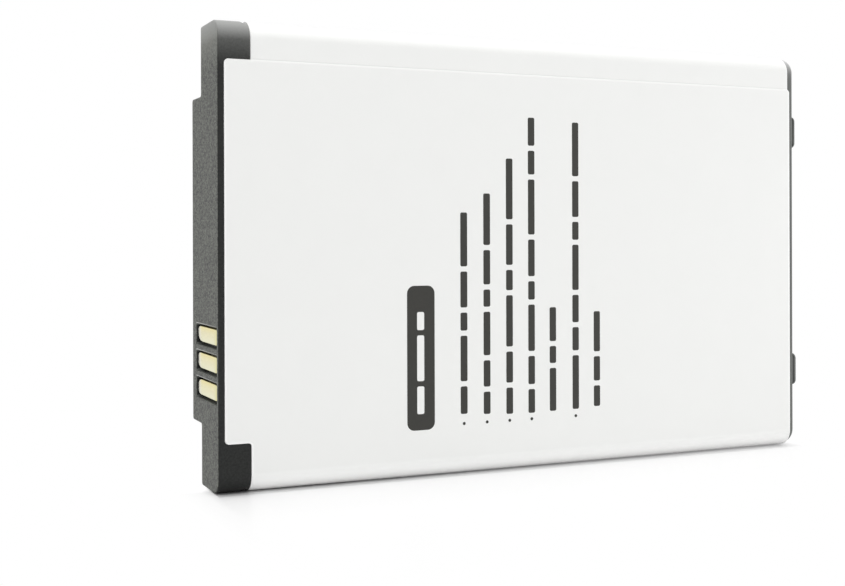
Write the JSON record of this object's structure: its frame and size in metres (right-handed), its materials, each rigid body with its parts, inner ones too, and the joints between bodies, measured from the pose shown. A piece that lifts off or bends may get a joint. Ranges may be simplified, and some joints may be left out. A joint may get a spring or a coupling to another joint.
{
  "type": "camera battery pack",
  "caption": "Flat rechargeable pack with moulded end caps, a white film wrap, recessed gold contacts in windows and keyed rear corners.",
  "frame": {"origin": "middle of the bottom of the bounding box; the pack stands on its long narrow side", "axes": "+X along the length from the contacts to the base, +Y from the printed face to the back, +Z across the width, up"},
  "size_m": [0.0552, 0.0078, 0.036],
  "materials": {
    "printed_film": "satin white film",
    "moulded_black": "fine matte texture, smooth on the broad sides",
    "gold_plate": "pale gold plating, satin",
    "drawn_aluminium": "drawn, satin",
    "nickel": "rolled nickel strip",
    "gasket_resin": "smooth moulding",
    "insulating_sheet": "fibre sheet",
    "board_green": "solder resist on glass fibre",
    "bracket_white": "plain moulding",
    "package_black": "moulded package",
    "chip_ceramic": "fired ceramic",
    "adhesive_pad": "soft foam"
  },
  "bodies": {
    "root": {"wrap_label": "printed_film", "contact_cap": "moulded_black", "base_cap": "moulded_black", "contact_pad_positive": "gold_plate", "contact_pad_signal": "gold_plate", "contact_pad_negative": "gold_plate", "cell_can": "drawn_aluminium", "cell_lid": "drawn_aluminium", "terminal_gasket": "gasket_resin", "cell_terminal": "nickel", "fill_plug": "drawn_aluminium", "lid_insulator": "insulating_sheet", "protection_board": "board_green", "board_bracket": "bracket_white", "switch_mosfet": "package_black", "protection_ic": "package_black", "sense_resistor": "chip_ceramic", "filter_resistor": "chip_ceramic", "filter_capacitor": "chip_ceramic", "bypass_capacitor": "chip_ceramic", "thermistor": "chip_ceramic", "positive_strip": "nickel", "negative_strip": "nickel", "terminal_lead": "nickel", "thermal_cutoff": "package_black", "board_tab_positive": "nickel", "board_tab_negative": "nickel", "base_pad": "adhesive_pad"}
  },
  "joints": []
}
